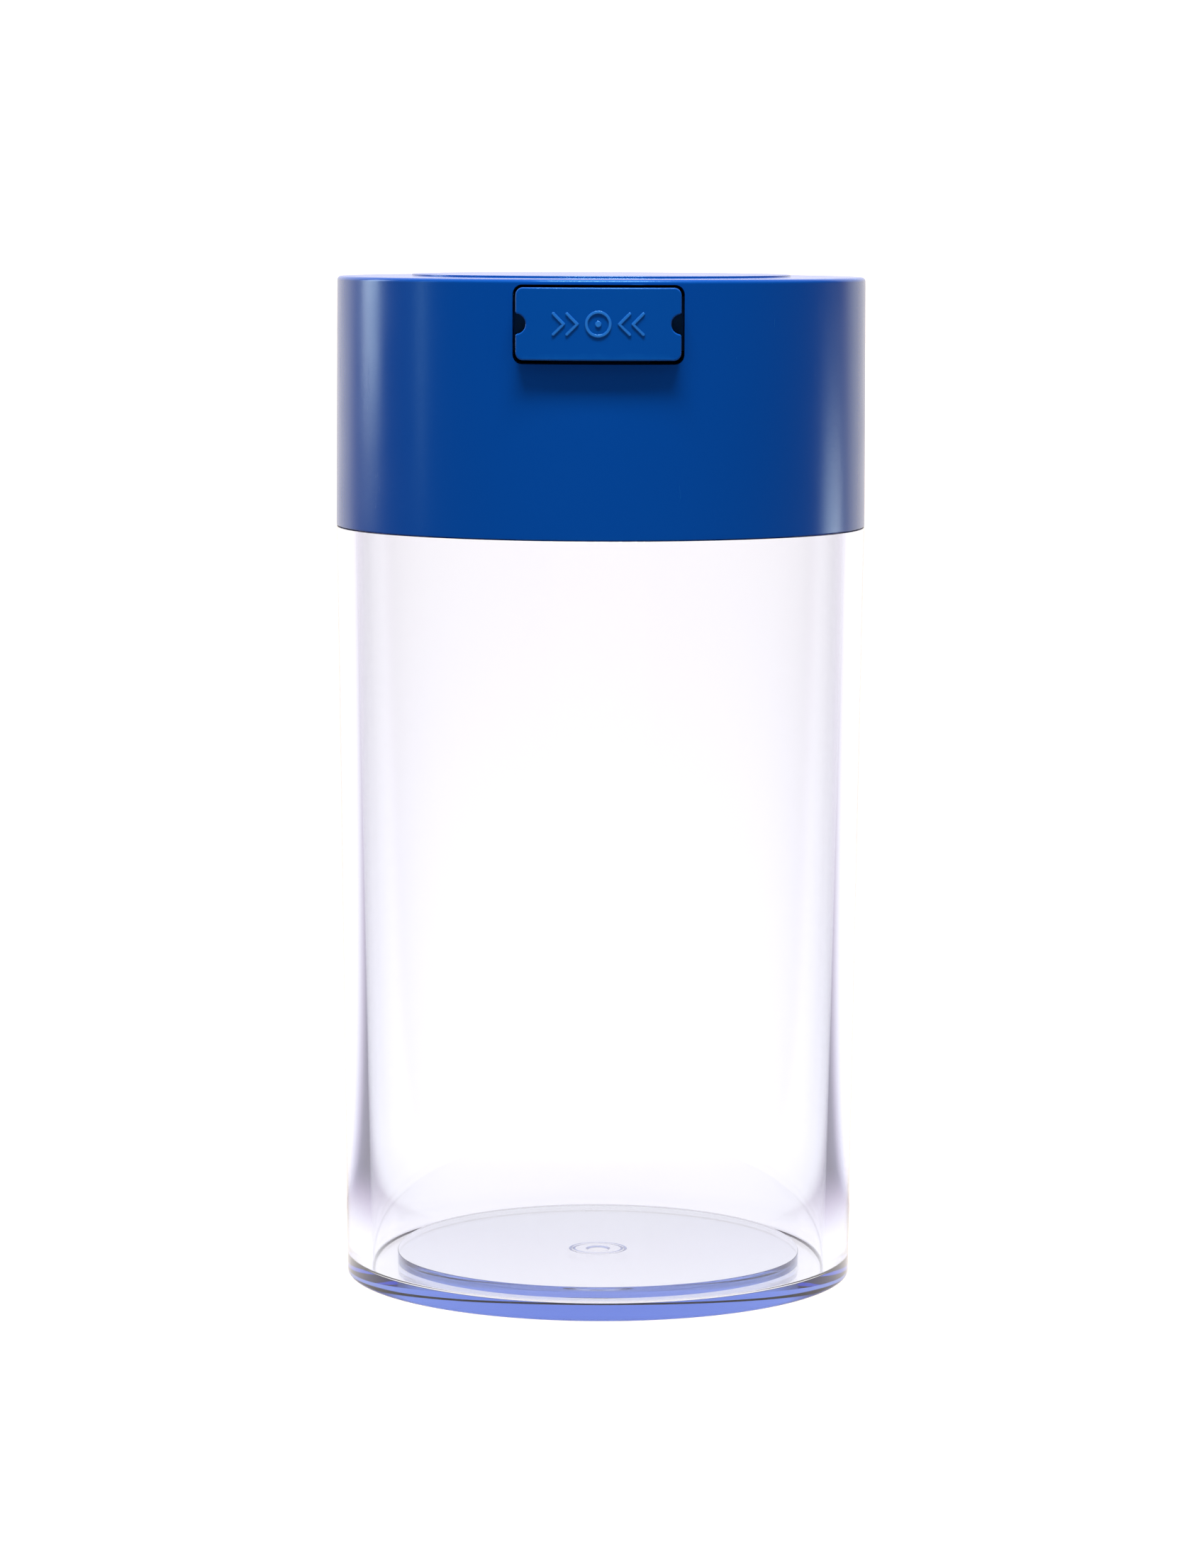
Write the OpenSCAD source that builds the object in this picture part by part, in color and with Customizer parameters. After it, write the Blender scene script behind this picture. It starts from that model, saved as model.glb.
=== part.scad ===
// Clear storage canister with an airtight cap and a press-button air valve.
// Millimetres, +Z up. The origin is the centre of the foot, and the button faces -Y.

/* [Canister] */
// Overall height of the closed canister
total_h = 157; // [130:1:200]
// Outer diameter of the body at the foot
foot_d = 79.4; // [74:0.2:80]
// Thickness of the clear wall at the foot
foot_wall_t = 3.8; // [3:0.1:5]
// Thickness of the floor outside its raised disc
floor_t = 2.2; // [1.5:0.1:3]
// Radius of the inside corner between floor and wall
floor_fillet = 0.6; // [0.4:0.1:2]
// Thickness of the neck that goes up into the cap
neck_t = 1.2; // [1:0.1:1.4]

/* [Foot] */
// Diameter of the raised disc inside, on the floor
raised_d = 63.6; // [56:0.2:66]
// Height of the raised disc above the floor
raised_h = 1.7; // [1:0.1:2.4]
// Radius of the body's bottom outer edge
foot_edge = 0.4; // [0.2:0.1:1.4]

/* [Cap] */
// Diameter of the cap at its top edge
cap_d = 82; // [80:0.5:90]
// Height of the cap, from its rim to its plateau
cap_h = 38.9; // [36:0.1:46]
// How much wider the cap's radius is at the rim than at the top edge
cap_draft = 0.2; // [0:0.05:0.4]
// Thickness of the cap's skirt
skirt_t = 1.4; // [1.2:0.1:1.6]
// Diameter of the raised plateau on top
plateau_d = 58.8; // [40:0.2:59.2]
// Height of the plateau above the cap's edge
plateau_h = 0.35; // [0.2:0.05:0.6]

/* [Button] */
// Width of the button
button_w = 24.5; // [20:0.5:25.5]
// Height of the button
button_h = 10.7; // [10:0.1:11]
// How far the button stands out of the cap
button_proud = 1.8; // [1:0.1:3]
// How far the button goes in
button_travel = 2; // [1:0.1:2.2]
// Height of the raised mark on the button
mark_h = 0.2; // [0.1:0.05:0.4]

/* [Spring] */
// Turns of the return spring
spring_turns = 7; // [5:1:9]
// Diameter of the spring's wire
spring_wire_d = 0.5; // [0.4:0.1:0.6]

/* [Hidden] */
$fn = 96;

blue = [0.02, 0.24, 0.58];
clear = [0.85, 0.86, 0.95, 0.35];
rubber = [0.88, 0.88, 0.86];
white = [0.93, 0.93, 0.91];
steel = [0.7, 0.71, 0.73];

over = 1; // how far a cutting shape passes the surface that it cuts
slip = 0.3; // gap between a moving piece and what it must not touch
seal_slip = 0.05; // running gap of the rubber ring

// Levels, from the top down
edge_z = total_h - plateau_h; // top edge of the cap
rim_z = total_h - cap_h; // lower rim of the cap
shoulder_z = rim_z - slip; // ledge of the body under the cap's rim
deck_t = 1.25; // thickness of the cap's top outside the plateau
deck_z = edge_z - deck_t; // underside of the deck
window_gap = 0.9; // skirt left above the window
window_top = edge_z - window_gap;
button_top = window_top - slip;
button_mid = button_top - button_h / 2;
button_drop_gap = 0.5; // gap under the button
window_bottom = button_top - button_h - button_drop_gap;
partition_top = window_bottom - 0.75;
partition_t = 1.6;
partition_z = partition_top - partition_t;
neck_top = partition_z - 0.7;

// Radii of the cap and the neck
cap_r = cap_d / 2;
cap_rim_r = cap_r + cap_draft;
skirt_r = cap_r - skirt_t; // bore of the skirt
neck_r = skirt_r - slip;
neck_bore = neck_r - neck_t;
shoulder_r = cap_rim_r;
foot_r = foot_d / 2;
floor_r = foot_r - foot_wall_t;

// The plug of the liner, and the rubber ring in its groove
plug_r = neck_bore - 0.5;
plug_z = partition_z - 15.2; // lower end of the plug
plug_t = 1.6; // wall of the plug above its ring
ring_t = 3.4; // wall of the plug's thicker lower end, which holds the rubber ring
groove_r = plug_r - 1.7;
groove_h = 4;
groove_z = plug_z + 2.8;
lip_r = 0.6; // radius of the ring's two sealing lips

// The weld ledge that the liner's partition meets under the valve chamber
ledge_r = skirt_r - 1.7;
ledge_h = 1.5;
partition_r = skirt_r - slip;

// The button, its window and its guide
face_r = cap_r + button_proud; // the face is a stretch of a cylinder about the cap's axis
button_edge = 1.1; // corner radius of the button
window_w = button_w + 0.7;
window_edge = 1.3;
button_wall = 1.8;
button_back = -cap_r + 7.5; // inner end of the button's walls
pocket_y = -cap_r + 1.4; // bottom of the hollow behind the button's face
ear_w = 2; // how far the retaining ears reach past the button's sides
ear_t = 1.8;
ear_h = button_h - 2.7;
notch_r = 1.5;
rail_t = 1.2;
guide_end = button_back + button_travel + 1.5; // inner end of the guide rails
guide_w = button_w + 2 * (ear_w + slip); // room between the rails

// The valve behind the button
boss_r = 2.2;
stem_r = 1.1;
port_r = 1.9;
disc_r = 3.4;
disc_t = 1.5;
seat_r = 2.4;
seat_t = 0.6;
seat_h = 0.5;
housing_t = 1.2;
housing_y = -28.5; // outer face of the valve housing's front wall
housing_l = 11;
housing_w = 15.2;
housing_top = deck_z - slip;
boss_end = housing_y - button_travel - slip;
port_y = housing_y + housing_t;
disc_y = port_y + seat_h + seal_slip; // sealing face of the disc
head_y = disc_y + disc_t;
head_r = 2.4;
head_t = 0.9;

// The return spring, between the bottom of the button's hollow and the housing
spring_r = 3;
spring_start = pocket_y + spring_wire_d / 2 + 0.03;
spring_l = housing_y - pocket_y - spring_wire_d - 0.06;
spring_steps = 20; // facets in each turn
wire_sides = 8;

// Cuts the sharp corner of a square profile down to a radius. The arc's centre is the origin.
module corner_cut(r) {
    difference() {
        square(r + over);
        circle(r);
    }
}

// A rectangle with round corners, centred
module rounded_rect(w, h, r) {
    square([w - 2 * r, h], center = true);
    square([w, h - 2 * r], center = true);
    for (x = [-1, 1], y = [-1, 1])
        translate([x * (w / 2 - r), y * (h / 2 - r)])
            circle(r);
}

// Stands a drawing in the XZ plane at y and gives it depth along +Y
module upright(y, depth) {
    translate([0, y + depth, 0])
        rotate([90, 0, 0])
            linear_extrude(depth)
                children();
}

// A cylinder along +Y that starts at y on the button's centre line
module along_y(y, length, r) {
    translate([0, y, button_mid])
        rotate([-90, 0, 0])
            cylinder(r = r, h = length);
}

// A box from its low corner to its high corner
module span(low, high) {
    translate(low)
        cube(high - low);
}

// The outside of the body: foot, tapered wall, shoulder and neck
module body_outside() {
    slope = (shoulder_r - foot_r) / shoulder_z;
    shoulder_edge = 0.4;
    neck_edge = 0.5;
    difference() {
        polygon([
            [0, 0],
            [foot_r, 0],
            [shoulder_r, shoulder_z],
            [neck_r, shoulder_z],
            [neck_r, neck_top],
            [0, neck_top]
        ]);
        translate([foot_r - foot_edge + slope * foot_edge, foot_edge])
            mirror([0, 1])
                corner_cut(foot_edge);
        translate([shoulder_r - shoulder_edge, shoulder_z - shoulder_edge])
            corner_cut(shoulder_edge);
        translate([neck_r - neck_edge, neck_top - neck_edge])
            corner_cut(neck_edge);
    }
}

// The inside of the body: a floor with a raised disc, then the tapered wall and the neck's bore
module body_inside() {
    raised_r = raised_d / 2;
    lean = atan((neck_bore - floor_r) / (shoulder_z - floor_t));
    arc_x = floor_r - floor_fillet * (1 - sin(lean)) / cos(lean);
    arc_z = floor_t + floor_fillet;
    polygon([
        [0, floor_t + raised_h],
        [raised_r, floor_t + raised_h],
        [raised_r, floor_t],
        [arc_x, floor_t],
        [arc_x + floor_fillet * cos(lean), arc_z - floor_fillet * sin(lean)],
        [neck_bore, shoulder_z],
        [neck_bore, neck_top + over],
        [0, neck_top + over]
    ]);
    intersection() {
        translate([arc_x, arc_z])
            circle(floor_fillet);
        translate([arc_x, floor_t])
            square(floor_fillet);
    }
}

// The body, with the moulding gate's round mark under its floor: a dimple in a ring groove
module canister_body() {
    groove_at = 4.1;
    groove_edge_r = 0.5;
    dimple_r = 2.6;
    dimple_drop = 1.7; // how far under the floor the dimple's centre is
    color(clear)
        difference() {
            rotate_extrude()
                difference() {
                    body_outside();
                    body_inside();
                }
            rotate_extrude()
                translate([groove_at, 0])
                    circle(groove_edge_r);
            translate([0, 0, -dimple_drop])
                sphere(dimple_r);
        }
}

// The cap as a turned shell: skirt, deck and plateau
module cap_turned() {
    top_edge = 0.65;
    rim_edge = 0.3;
    rotate_extrude()
        difference() {
            union() {
                polygon([
                    [0, rim_z],
                    [cap_rim_r, rim_z],
                    [cap_r, edge_z],
                    [0, edge_z]
                ]);
                square([plateau_d / 2, total_h]);
            }
            translate([cap_r - top_edge, edge_z - top_edge])
                corner_cut(top_edge);
            translate([cap_rim_r - rim_edge, rim_z + rim_edge])
                mirror([0, 1])
                    corner_cut(rim_edge);
            difference() {
                square([skirt_r, deck_z]);
                translate([ledge_r, partition_top])
                    square([cap_r, ledge_h]);
            }
        }
}

module cap_shell() {
    color(blue) {
        difference() {
            cap_turned();
            translate([0, 0, (window_top + window_bottom) / 2])
                upright(-cap_r - over, skirt_t + 3 * over)
                    rounded_rect(window_w, window_top - window_bottom, window_edge);
            intersection() {
                span([-guide_w / 2, -skirt_r, partition_top - over],
                     [guide_w / 2, guide_end, window_top]);
                cylinder(r = skirt_r, h = total_h);
            }
        }
        for (side = [0, 1])
            mirror([side, 0, 0])
                guide_rail();
    }
}

// One of the two walls that the button's ears slide along
module guide_rail() {
    intersection() {
        span([guide_w / 2, -skirt_r, partition_top + slip],
             [guide_w / 2 + rail_t, guide_end, deck_z + deck_t / 2]);
        cylinder(r = skirt_r + skirt_t / 2, h = total_h);
    }
}

module cap_liner() {
    color(blue)
        difference() {
            union() {
                translate([0, 0, partition_z])
                    cylinder(r = partition_r, h = partition_t);
                translate([0, 0, plug_z])
                    cylinder(r = plug_r, h = partition_z - plug_z + partition_t / 2);
                span([-housing_w / 2, housing_y, partition_top - partition_t / 2],
                     [housing_w / 2, housing_y + housing_l, housing_top]);
            }
            translate([0, 0, plug_z - over])
                cylinder(r = plug_r - ring_t, h = partition_z - plug_z + over);
            translate([0, 0, groove_z + groove_h + ring_t / 2])
                cylinder(r = plug_r - plug_t, h = partition_z - groove_z - groove_h - ring_t / 2);
            rotate_extrude()
                translate([groove_r, groove_z])
                    square([plug_r, groove_h]);
            difference() {
                span([-housing_w / 2 + housing_t, port_y, partition_z - over],
                     [housing_w / 2 - housing_t, port_y + housing_l - 2 * housing_t,
                      housing_top - housing_t]);
                difference() {
                    along_y(port_y - over, seat_h + over, seat_r + seat_t);
                    along_y(port_y - 2 * over, seat_h + 3 * over, seat_r);
                }
            }
            along_y(housing_y - over, housing_t + 2 * over, port_r);
        }
}

module neck_seal() {
    ring_r = groove_r + seal_slip;
    lip_x = neck_bore - seal_slip - lip_r;
    ring_z = groove_z + seal_slip;
    ring_h = groove_h - 2 * seal_slip;
    color(rubber)
        rotate_extrude() {
            translate([ring_r, ring_z])
                square([lip_x - ring_r, ring_h]);
            for (z = [ring_z + lip_r, ring_z + ring_h - lip_r])
                translate([lip_x, z])
                    circle(lip_r, $fn = 32);
        }
}

// A chevron that points along +X with its tip at the origin
module chevron(size, line) {
    for (turn = [-1, 1])
        rotate(turn * 135)
            translate([0, -line / 2])
                square([size, line]);
}

// A ring and dot with chevrons that point at it from both sides
module press_mark() {
    line = 0.5;
    ring_r = 2;
    chevron_size = 2.4;
    chevron_step = 2;
    difference() {
        circle(ring_r);
        circle(ring_r - line);
    }
    circle(line);
    for (side = [0, 1], step = [0, 1])
        mirror([side, 0])
            translate([-ring_r - 1.1 - step * chevron_step, 0])
                chevron(chevron_size, line);
}

module press_button() {
    color(blue) {
        difference() {
            union() {
                intersection() {
                    translate([0, 0, button_mid])
                        upright(-face_r - over, face_r + over + button_back)
                            rounded_rect(button_w, button_h, button_edge);
                    cylinder(r = face_r, h = total_h);
                }
                span([-button_w / 2 - ear_w, button_back - ear_t, button_mid - ear_h / 2],
                     [button_w / 2 + ear_w, button_back, button_mid + ear_h / 2]);
            }
            span([-button_w / 2 + button_wall, pocket_y, button_mid - button_h / 2 + button_wall],
                 [button_w / 2 - button_wall, button_back + over,
                  button_mid + button_h / 2 - button_wall]);
            for (x = [-1, 1])
                translate([x * button_w / 2, 0, 0])
                    along_y(-face_r - over, face_r + button_back - ear_t, notch_r);
        }
        difference() {
            along_y(pocket_y - over / 2, boss_end - pocket_y + over / 2, boss_r);
            along_y(pocket_y, boss_end - pocket_y + over, stem_r);
        }
        intersection() {
            translate([0, 0, button_mid])
                upright(-face_r - over, 4 * over)
                    press_mark();
            difference() {
                cylinder(r = face_r + mark_h, h = total_h);
                cylinder(r = face_r - mark_h, h = total_h);
            }
        }
    }
}

module valve_stem() {
    color(white) {
        along_y(pocket_y, head_y - pocket_y + head_t / 2, stem_r);
        along_y(head_y, head_t, head_r);
    }
}

module valve_disc() {
    color(rubber)
        difference() {
            along_y(disc_y, disc_t, disc_r);
            along_y(disc_y - over, disc_t + 2 * over, stem_r);
        }
}

// How far along the spring each step lies: a closed turn at each end, and an even pitch between
function spring_place(turn) =
    let (dead = spring_wire_d * 1.06,
         pitch = (spring_l - 2 * dead) / (spring_turns - 2))
    turn < 1 ? turn * dead
    : turn < spring_turns - 1 ? dead + (turn - 1) * pitch
    : spring_l - (spring_turns - turn) * dead;

module return_spring() {
    last = spring_turns * spring_steps;
    points = [
        for (i = [0:last], k = [0:wire_sides - 1])
            let (turn = i / spring_steps,
                 round_wire = 360 * k / wire_sides,
                 r = spring_r + spring_wire_d / 2 * cos(round_wire))
            [
                r * cos(360 * turn),
                spring_start + spring_place(turn) + spring_wire_d / 2 * sin(round_wire),
                button_mid + r * sin(360 * turn)
            ]
    ];
    sides = [
        for (i = [0:last - 1], k = [0:wire_sides - 1])
            let (next = (k + 1) % wire_sides)
            [
                i * wire_sides + k,
                (i + 1) * wire_sides + k,
                (i + 1) * wire_sides + next,
                i * wire_sides + next
            ]
    ];
    ends = [
        [for (k = [0:wire_sides - 1]) k],
        [for (k = [0:wire_sides - 1]) last * wire_sides + wire_sides - 1 - k]
    ];
    color(steel)
        polyhedron(points, concat(sides, ends));
}

canister_body();
cap_shell();
cap_liner();
neck_seal();
press_button();
return_spring();
valve_stem();
valve_disc();
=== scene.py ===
"""Looks for the press-button canister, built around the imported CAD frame.

Shapes are drawn in millimetres, in the frame's own axes: +Z up, the button towards -Y.
"""

import math

import bpy
from mathutils import Matrix, Vector
from mathutils.geometry import delaunay_2d_cdt


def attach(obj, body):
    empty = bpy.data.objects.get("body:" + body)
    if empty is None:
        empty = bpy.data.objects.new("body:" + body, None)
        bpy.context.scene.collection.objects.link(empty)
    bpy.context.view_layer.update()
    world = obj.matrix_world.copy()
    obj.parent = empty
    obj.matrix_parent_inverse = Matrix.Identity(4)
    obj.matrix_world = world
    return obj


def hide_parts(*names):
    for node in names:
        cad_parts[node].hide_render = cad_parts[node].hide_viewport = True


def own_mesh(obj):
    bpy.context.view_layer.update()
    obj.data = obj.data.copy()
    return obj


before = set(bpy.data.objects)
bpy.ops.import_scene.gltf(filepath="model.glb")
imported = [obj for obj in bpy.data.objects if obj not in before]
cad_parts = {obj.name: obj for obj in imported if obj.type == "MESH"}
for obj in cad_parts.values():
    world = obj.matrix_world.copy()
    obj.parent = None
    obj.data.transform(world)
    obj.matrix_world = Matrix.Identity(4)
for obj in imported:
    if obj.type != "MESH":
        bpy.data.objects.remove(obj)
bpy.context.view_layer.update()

MM = 0.001

# ---------------------------------------------------------------- sizes, in millimetres
TOTAL_H = 157.0
EDGE_Z = 156.65
RIM_Z = 118.1
SHOULDER_Z = 118.0
NECK_TOP = 141.2
CAP_R = 41.0
CAP_RIM_R = 41.2
SKIRT_R = 39.6
NECK_R = 39.3
NECK_BORE = 38.1
PLATEAU_R = 29.4
CAP_TOP_EDGE = 0.65
FOOT_R = 39.7
FLOOR_R = 35.9
FLOOR_T = 2.2
FLOOR_FILLET = 0.6
RAISED_R = 31.8
RAISED_H = 1.7
GROOVE_AT = 4.1
GROOVE_EDGE_R = 0.5
DIMPLE_R = 2.6
DIMPLE_DROP = 1.7
FOOT_EDGE = 0.4
WINDOW_W = 25.2
WINDOW_TOP = 155.75
WINDOW_BOTTOM = 144.25
WINDOW_MID = (WINDOW_TOP + WINDOW_BOTTOM) / 2
WINDOW_CORNER = 1.3
WINDOW_FILLET = 0.12
PARTITION_TOP = 143.5
BUTTON_W = 24.5
BUTTON_H = 10.7
BUTTON_MID = 150.1
BUTTON_CORNER = 1.1
BUTTON_FILLET = 0.22
BUTTON_FACE_R = 42.8
BUTTON_BACK = -33.5
BUTTON_POCKET = -39.6
BUTTON_WALL = 1.8
NOTCH_R = 1.5
GUIDE_W = 29.1
GUIDE_END = -30.0
RAIL_T = 1.2
LEDGE_R = 37.9
LEDGE_H = 1.5
EAR_W = 2.0
EAR_T = 1.8
EAR_H = 8.0
BOSS_R = 2.2
STEM_R = 1.1
BOSS_END = -30.8
SPRING_R = 3.0
SPRING_WIRE_R = 0.25
SPRING_TURNS = 7
SPRING_START = -39.32
SPRING_L = 10.54

# How finely round shapes are turned and outlines divided
TURNED_COUNT = 360
OUTLINE_STEP = 0.7

# The stretch of the cap's wall round the window, which isn't turned
PATCH_ANGLE = math.radians(24)
PATCH_LOW = 142.0
PATCH_HIGH = EDGE_Z - CAP_TOP_EDGE
PATCH_INNER_HIGH = PATCH_HIGH - 1.0
PATCH_ROWS = 7

# The raised mark on the button: a ring round a dot, with chevrons on each side that point at it
MARK_H = 0.2
MARK_LINE_HALF = 0.25
MARK_RING_R = 1.75
MARK_DOT_R = 0.5
CHEVRONS = 2
CHEVRON_TIP = 3.1
CHEVRON_STEP = 2.0
CHEVRON_ARM = 2.15

# ---------------------------------------------------------------- colours and light levels
CLEAR_TINT = (0.0, 0.25, 0.81, 1)
CLEAR_DENSITY = 29.0
REFLECTION_TINT = (0.22, 0.72, 1.0)
STUDIO_BRIGHT = (1.0, 0.93, 0.87)
STUDIO_DIM = (1.0, 0.78, 0.9)
DIM = 0.22
DIM_GLOSSY = 0.12
WORLD_STRENGTH = 1.36
# The table glows; right under the object it glows less than beside it, a painted contact shadow.
TABLE_GLOW_IN_PAINTED_SHADOW = 1.02
TABLE_BESIDE_OBJECT = 1.26


# ---------------------------------------------------------------- mesh tools
class Skin:
    """Faces with a normal at every corner, in millimetres, that become one mesh."""

    def __init__(self):
        self.found = {}
        self.points = []
        self.faces = []
        self.normals = []

    def corner(self, point):
        key = tuple(round(c, 4) for c in point)
        if key not in self.found:
            self.found[key] = len(self.points)
            self.points.append([c * MM for c in point])
        return self.found[key]

    def face(self, corners):
        ids = []
        normals = []
        for point, normal in corners:
            index = self.corner(point)
            if index not in ids:
                ids.append(index)
                normals.append(normal)
        if len(ids) > 2:
            self.faces.append(ids)
            self.normals.extend(normals)

    def strip(self, low, high):
        """Quads between two closed rows of (point, normal), seen counter-clockwise."""
        count = len(low)
        for i in range(count):
            k = (i + 1) % count
            self.face([low[i], low[k], high[k], high[i]])

    def make(self, name, material, body, slot, *nodes):
        mesh = bpy.data.meshes.new(name)
        mesh.from_pydata(self.points, [], self.faces)
        mesh.polygons.foreach_set("use_smooth", [True] * len(self.faces))
        mesh.normals_split_custom_set(self.normals)
        mesh.materials.append(material)
        piece = bpy.data.objects.new(name, mesh)
        bpy.context.scene.collection.objects.link(piece)
        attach(piece, body)
        if nodes:
            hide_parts(*nodes)
        return piece


def line(start, end, steps=1):
    """A straight stretch of a profile; its normal is on the right of the way it goes."""
    dr = end[0] - start[0]
    dz = end[1] - start[1]
    length = math.hypot(dr, dz)
    return [
        (start[0] + dr * i / steps, start[1] + dz * i / steps, dz / length, -dr / length)
        for i in range(steps + 1)
    ]


def arc(centre, radius, start, end, steps=8):
    """A round stretch of a profile, between two angles in degrees; convex when it turns left."""
    side = 1 if end > start else -1
    points = []
    for i in range(steps + 1):
        a = math.radians(start + (end - start) * i / steps)
        points.append((
            centre[0] + radius * math.cos(a),
            centre[1] + radius * math.sin(a),
            side * math.cos(a),
            side * math.sin(a),
        ))
    return points


def around(profile_point, angle):
    """A profile point turned about Z; angle 0 is at -Y, and it grows towards +X."""
    r, z, nr, nz = profile_point
    s = math.sin(angle)
    c = math.cos(angle)
    return (r * s, -r * c, z), (nr * s, -nr * c, nz)


def lathe(skin, stretches, count, skip=None):
    """Turns the stretches of a profile about Z; skip(angle, low, high) leaves faces out."""
    for stretch in stretches:
        for low, high in zip(stretch, stretch[1:]):
            for i in range(count):
                a = 2 * math.pi * i / count
                b = 2 * math.pi * (i + 1) / count
                if skip and skip((a + b) / 2, low, high):
                    continue
                skin.face([around(low, a), around(low, b), around(high, b), around(high, a)])


def triangles(points, edges):
    """Fills a plane with triangles: the points, which given points each came from, and the faces."""
    result = delaunay_2d_cdt([Vector(p) for p in points], edges, [], 0, 1e-5)
    return [list(p) for p in result[0]], result[3], result[2]


def loop_edges(first, count):
    """The edges of a closed loop of count points, the first of which has the number first."""
    return [(first + i, first + (i + 1) % count) for i in range(count)]


def box(skin, low, high):
    """A box between its lowest and highest corners."""
    for axis in range(3):
        for side in (0, 1):
            normal = [0, 0, 0]
            normal[axis] = 1 if side else -1
            u = (axis + 1) % 3
            v = (axis + 2) % 3
            corners = []
            for a, b in ((0, 0), (1, 0), (1, 1), (0, 1)):
                point = [0, 0, 0]
                point[axis] = (low, high)[side][axis]
                point[u] = (low, high)[a][u]
                point[v] = (low, high)[b][v]
                corners.append((tuple(point), tuple(normal)))
            skin.face(corners if side else corners[::-1])


# ---------------------------------------------------------------- materials
def new_material(name, colour, roughness, ior=1.5):
    material = bpy.data.materials.new(name)
    material.use_nodes = True
    shader = material.node_tree.nodes["Principled BSDF"]
    shader.inputs["Base Color"].default_value = (*colour, 1)
    shader.inputs["Roughness"].default_value = roughness
    shader.inputs["IOR"].default_value = ior
    return material, material.node_tree, shader


def noise(tree, scale, detail=3.0, stretch=(1, 1, 1)):
    """Noise over the object's own metres; scale is in waves per metre."""
    place = tree.nodes.new("ShaderNodeTexCoord")
    mapping = tree.nodes.new("ShaderNodeMapping")
    mapping.inputs["Scale"].default_value = stretch
    made = tree.nodes.new("ShaderNodeTexNoise")
    made.inputs["Scale"].default_value = scale
    made.inputs["Detail"].default_value = detail
    tree.links.new(place.outputs["Object"], mapping.inputs["Vector"])
    tree.links.new(mapping.outputs["Vector"], made.inputs["Vector"])
    return made.outputs["Fac"]


def spread(tree, value, low, high, out_low, out_high):
    """Maps low..high onto out_low..out_high, and holds the ends."""
    made = tree.nodes.new("ShaderNodeMapRange")
    tree.links.new(value, made.inputs["Value"])
    for name, number in (("From Min", low), ("From Max", high), ("To Min", out_low), ("To Max", out_high)):
        made.inputs[name].default_value = number
    return made.outputs["Result"]


def bump(tree, shader, height, depth, under=None):
    """Bump of a height map, at its real depth in metres."""
    made = tree.nodes.new("ShaderNodeBump")
    made.inputs["Distance"].default_value = depth
    tree.links.new(height, made.inputs["Height"])
    if under:
        tree.links.new(under, made.inputs["Normal"])
    tree.links.new(made.outputs["Normal"], shader.inputs["Normal"])
    return made.outputs["Normal"]


def blend_colours(tree, factor, first, second):
    """A mix from first to second; first may be another node's output."""
    made = tree.nodes.new("ShaderNodeMix")
    made.data_type = "RGBA"
    if isinstance(first, bpy.types.NodeSocket):
        tree.links.new(first, made.inputs["A"])
    else:
        made.inputs["A"].default_value = (*first, 1)
    made.inputs["B"].default_value = (*second, 1)
    tree.links.new(factor, made.inputs["Factor"])
    return made.outputs["Result"]


def moulded(name, colour, wear_and_highlight, roughness, grain, grain_depth, shine=1.0, wave_depth=0.0):
    """Moulded plastic: a fine grain, soft waves, uneven gloss, faint scuffs and worn edges."""
    smoothest, roughest = roughness
    scuff_roughness = 0.08
    material, tree, shader = new_material(name, colour, smoothest)
    shader.inputs["Specular IOR Level"].default_value = 0.5 * shine
    shader.inputs["Specular Tint"].default_value = (*REFLECTION_TINT, 1)
    scuffs = spread(tree, noise(tree, 900, detail=6, stretch=(1, 1, 0.12)), 0.66, 0.78, 0.0, 1.0)
    uneven = spread(tree, noise(tree, 45, detail=4), 0.3, 0.7, smoothest, roughest)
    gloss = tree.nodes.new("ShaderNodeMath")
    gloss.operation = "MULTIPLY_ADD"
    gloss.inputs[1].default_value = scuff_roughness
    tree.links.new(scuffs, gloss.inputs[0])
    tree.links.new(uneven, gloss.inputs[2])
    tree.links.new(gloss.outputs[0], shader.inputs["Roughness"])
    geometry = tree.nodes.new("ShaderNodeNewGeometry")
    rubbing_and_highlight = spread(tree, geometry.outputs["Pointiness"], 0.53, 0.62, 0.0, 0.5)
    tree.links.new(blend_colours(tree, rubbing_and_highlight, colour, wear_and_highlight), shader.inputs["Base Color"])
    waves = bump(tree, shader, noise(tree, 30, detail=1), wave_depth) if wave_depth else None
    bump(tree, shader, noise(tree, grain, detail=2), grain_depth, waves)
    return material


def paint_highlight_on_mark(material, wear_and_highlight):
    """Lightens what stands above the button's face towards its top: a painted highlight on the raised
    mark.
    """
    tree = material.node_tree
    place = tree.nodes.new("ShaderNodeTexCoord")
    flat = tree.nodes.new("ShaderNodeVectorMath")
    flat.operation = "MULTIPLY"
    flat.inputs[1].default_value = (1, 1, 0)
    tree.links.new(place.outputs["Object"], flat.inputs[0])
    length = tree.nodes.new("ShaderNodeVectorMath")
    length.operation = "LENGTH"
    tree.links.new(flat.outputs[0], length.inputs[0])
    face = BUTTON_FACE_R * MM
    mark_top = face + MARK_H * MM
    mark_foot = face + 0.00004
    # A painted highlight: the raised mark is lighter towards its top.
    rubbing_and_highlight = spread(tree, length.outputs["Value"], mark_foot, mark_top, 0.0, 0.75)
    socket = tree.nodes["Principled BSDF"].inputs["Base Color"]
    under_painted_highlight = socket.links[0].from_socket
    tree.links.new(blend_colours(tree, rubbing_and_highlight, under_painted_highlight, wear_and_highlight), socket)


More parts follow.
